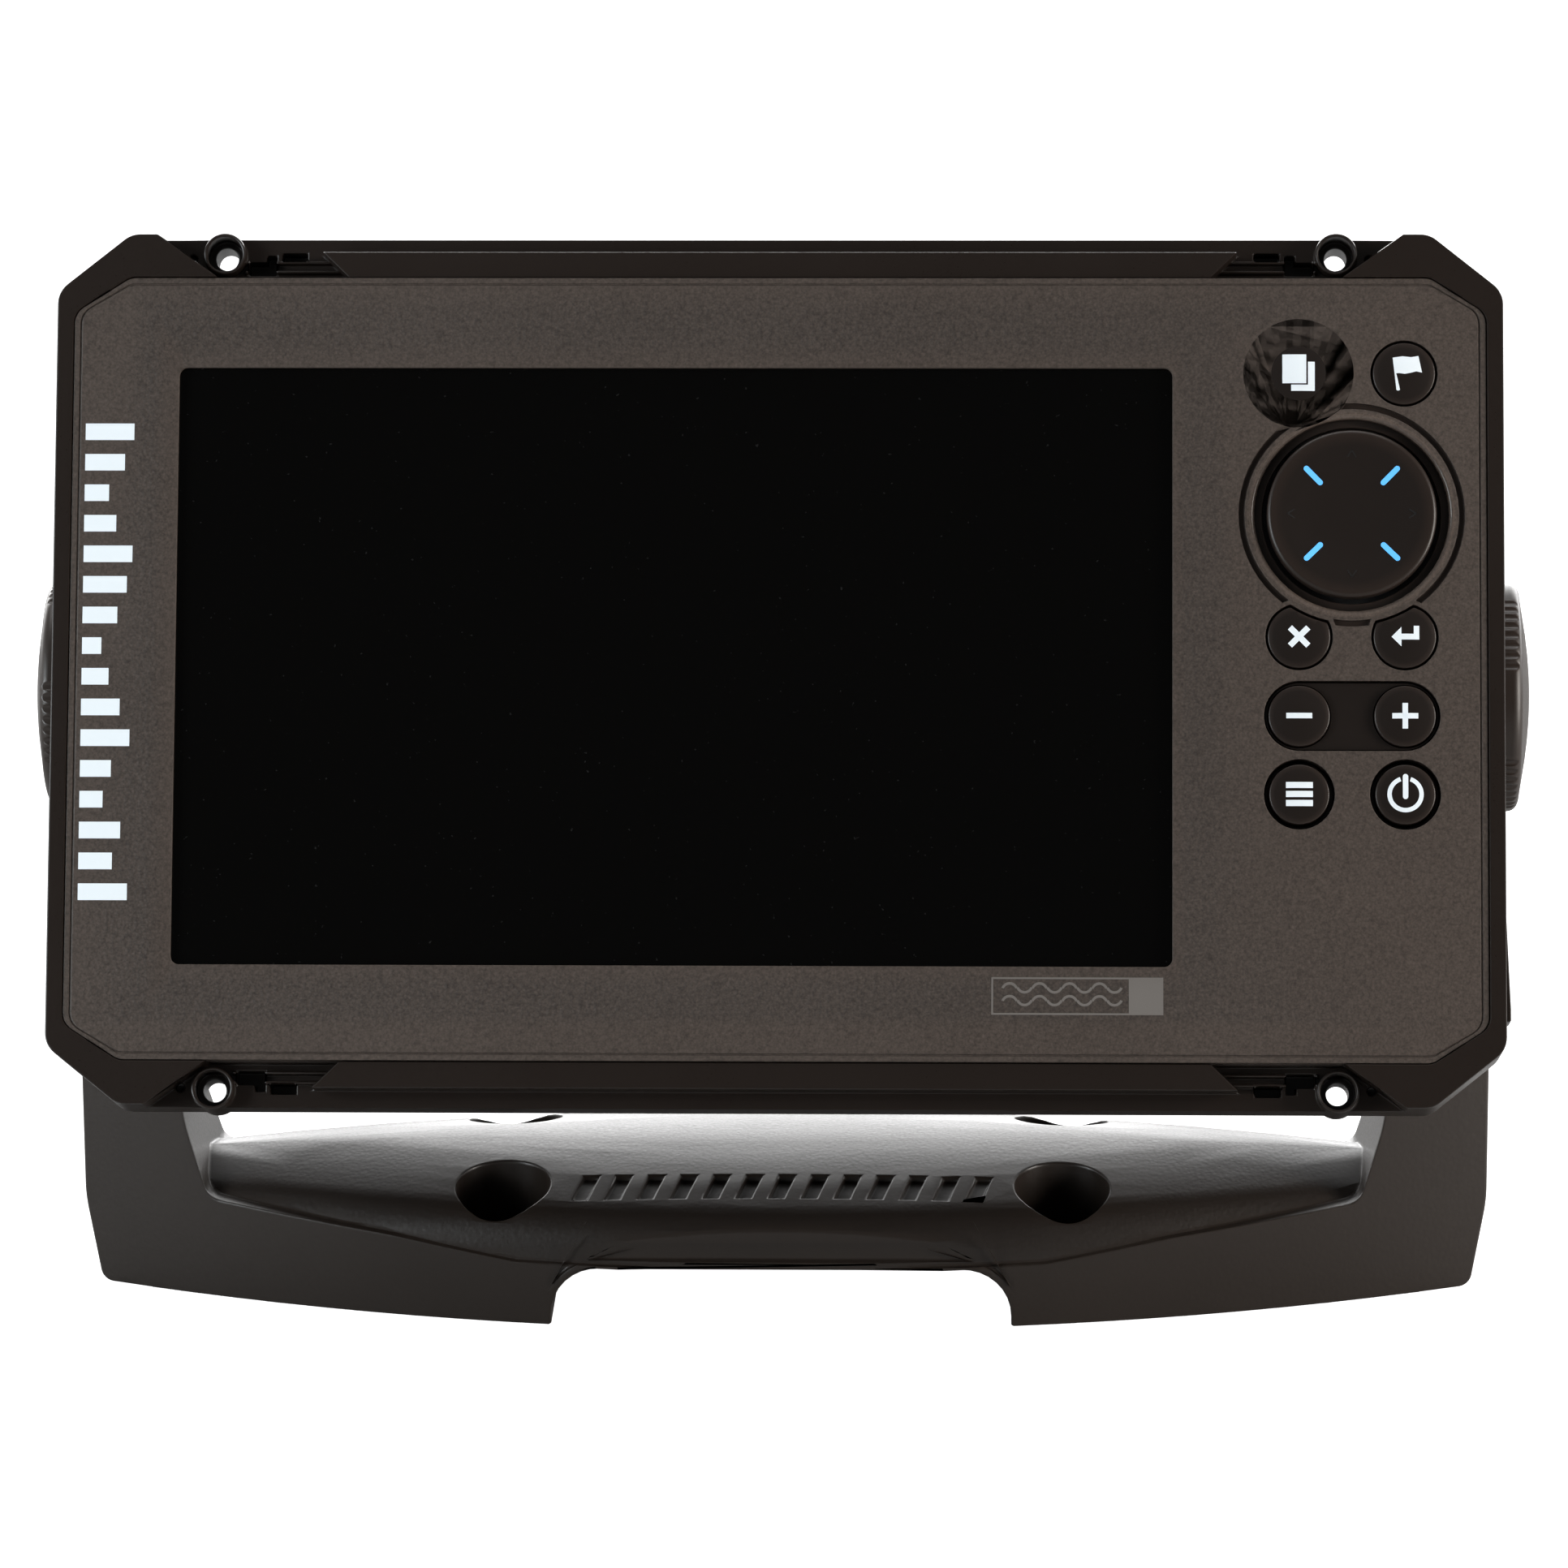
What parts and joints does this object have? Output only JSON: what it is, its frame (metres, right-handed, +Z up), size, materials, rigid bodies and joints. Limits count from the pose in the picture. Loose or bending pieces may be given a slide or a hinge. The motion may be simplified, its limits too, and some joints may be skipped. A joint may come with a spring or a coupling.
{
  "type": "chartplotter display",
  "caption": "Marine chartplotter display: a wide screen and key panel in a tilting head, clamped by side knobs in a low gimbal bracket.",
  "frame": {"origin": "centre of the bracket's four screw holes, on its mounting face", "axes": "+X to the user's right, +Y away from the user, +Z up from the dash"},
  "size_m": [0.2356, 0.0973, 0.1716],
  "materials": {
    "bezel_plastic": "finely pebbled warm grey moulded plastic",
    "frame_plastic": "smooth satin dark grey moulded plastic",
    "key_plastic": "satin near-black key caps with white printed symbols",
    "bracket_plastic": "fine leather grain, dark warm grey",
    "screen_glass": "polished black cover glass",
    "rubber": "matt black rubber",
    "seal_rubber": "soft grey-blue silicone",
    "steel": "bright stainless steel",
    "aluminium": "plain aluminium",
    "brass": "machined brass",
    "contact_gold": "gold-plated contacts",
    "circuit_board": "green solder mask",
    "panel_dark": "dark polarising film",
    "light_guide": "white light guide and reflector",
    "ribbon": "amber flat cable",
    "ceramic": "ceramic patch with a silvered top",
    "connector_plastic": "cream connector shells",
    "label": "blank satin label",
    "print_white": "white printed ink",
    "print_blue": "light blue printed ink",
    "print_grey": "grey printed ink"
  },
  "bodies": {
    "bracket": {"bracket": "bracket_plastic"},
    "head": {"friction_washer_right": "rubber", "friction_washer_left": "rubber", "pivot_insert_right": "brass", "pivot_insert_left": "brass", "front_frame": "frame_plastic", "front_bezel": "bezel_plastic", "screen_gasket": "rubber", "screen_glass": "screen_glass", "lcd_panel": "panel_dark", "backlight": "light_guide", "display_tray": "steel", "tray_screws": "steel", "key_mat": "rubber", "zoom_bridge": "key_plastic", "keypad_board": "circuit_board", "key_domes": "steel", "keypad_screws": "steel", "card_reader": "steel", "door_hinge_pin": "steel", "main_board": "circuit_board", "board_standoffs": "brass", "board_screws": "steel", "processor_shield": "steel", "heat_spreader": "aluminium", "gps_antenna": "ceramic", "buzzer": "rubber", "board_headers": "connector_plastic", "display_ribbon": "ribbon", "keypad_ribbon": "ribbon", "case_seal": "seal_rubber", "rear_case": "frame_plastic", "case_screws": "steel", "power_socket": "rubber", "power_pins": "contact_gold", "sonar_socket": "rubber", "sonar_pins": "contact_gold", "rating_plate": "label"},
    "thrust_right": {"thrust_washer_right": "steel"},
    "thrust_left": {"thrust_washer_left": "steel"},
    "knob_right": {"knob_right": "key_plastic", "knob_stud_right": "steel"},
    "knob_left": {"knob_left": "key_plastic", "knob_stud_left": "steel"},
    "pages_key": {"pages_key": "key_plastic"},
    "waypoint_key": {"waypoint_key": "key_plastic"},
    "exit_key": {"exit_key": "key_plastic"},
    "enter_key": {"enter_key": "key_plastic"},
    "minus_key": {"minus_key": "key_plastic"},
    "plus_key": {"plus_key": "key_plastic"},
    "menu_key": {"menu_key": "key_plastic"},
    "power_key": {"power_key": "key_plastic"},
    "cursor_plunger": {"cursor_plunger": "rubber"},
    "cursor_pad": {"cursor_pad": "key_plastic"},
    "card_door": {"card_door": "frame_plastic", "card_door_seal": "seal_rubber"}
  },
  "joints": [
    {"name": "head_tilt", "type": "hinge", "parent": "bracket", "child": "head", "pos_m": [0, 0, 0.0955], "axis": [-1, 0, 0], "range_deg": [-26, 36.5]},
    {"name": "right_knob_lift", "type": "slide", "parent": "head", "child": "thrust_right", "axis": [1, 0, 0], "range_m": [0, 0.0038]},
    {"name": "right_knob_turn", "type": "hinge", "parent": "thrust_right", "child": "knob_right", "pos_m": [0.1143, 0, 0.0955], "axis": [1, 0, 0], "range_deg": [0, 1080]},
    {"name": "left_knob_lift", "type": "slide", "parent": "head", "child": "thrust_left", "axis": [-1, 0, 0], "range_m": [0, 0.0038]},
    {"name": "left_knob_turn", "type": "hinge", "parent": "thrust_left", "child": "knob_left", "pos_m": [-0.1143, 0, 0.0955], "axis": [-1, 0, 0], "range_deg": [0, 1080]},
    {"name": "pages_key_press", "type": "slide", "parent": "head", "child": "pages_key", "axis": [0, 0.9171, -0.3987], "range_m": [0, 0.0008], "stiffness_N_per_m": 1200},
    {"name": "waypoint_key_press", "type": "slide", "parent": "head", "child": "waypoint_key", "axis": [0, 0.9171, -0.3987], "range_m": [0, 0.0008], "stiffness_N_per_m": 1200},
    {"name": "exit_key_press", "type": "slide", "parent": "head", "child": "exit_key", "axis": [0, 0.9171, -0.3987], "range_m": [0, 0.0008], "stiffness_N_per_m": 1200},
    {"name": "enter_key_press", "type": "slide", "parent": "head", "child": "enter_key", "axis": [0, 0.9171, -0.3987], "range_m": [0, 0.0008], "stiffness_N_per_m": 1200},
    {"name": "minus_key_press", "type": "slide", "parent": "head", "child": "minus_key", "axis": [0, 0.9171, -0.3987], "range_m": [0, 0.0008], "stiffness_N_per_m": 1200},
    {"name": "plus_key_press", "type": "slide", "parent": "head", "child": "plus_key", "axis": [0, 0.9171, -0.3987], "range_m": [0, 0.0008], "stiffness_N_per_m": 1200},
    {"name": "menu_key_press", "type": "slide", "parent": "head", "child": "menu_key", "axis": [0, 0.9171, -0.3987], "range_m": [0, 0.0008], "stiffness_N_per_m": 1200},
    {"name": "power_key_press", "type": "slide", "parent": "head", "child": "power_key", "axis": [0, 0.9171, -0.3987], "range_m": [0, 0.0008], "stiffness_N_per_m": 1200},
    {"name": "pad_rock_up_down", "type": "hinge", "parent": "head", "child": "cursor_plunger", "pos_m": [0.0888, -0.01721, 0.12915], "axis": [1, 0, 0], "range_deg": [-3, 3], "stiffness_Nm_per_rad": 1.5},
    {"name": "pad_rock_left_right", "type": "hinge", "parent": "cursor_plunger", "child": "cursor_pad", "pos_m": [0.0888, -0.01721, 0.12915], "axis": [0, 0.3987, 0.9171], "range_deg": [-3, 3], "stiffness_Nm_per_rad": 1.5},
    {"name": "card_door_swing", "type": "hinge", "parent": "head", "child": "card_door", "pos_m": [0.1104, -0.033, 0.07904], "axis": [0, -0.9171, 0.3987], "range_deg": [0, 100]}
  ],
  "couplings": [
    {"joint": "right_knob_lift", "follows": "right_knob_turn", "m_per_rad": 0.00019894},
    {"joint": "left_knob_lift", "follows": "left_knob_turn", "m_per_rad": 0.00019894}
  ]
}
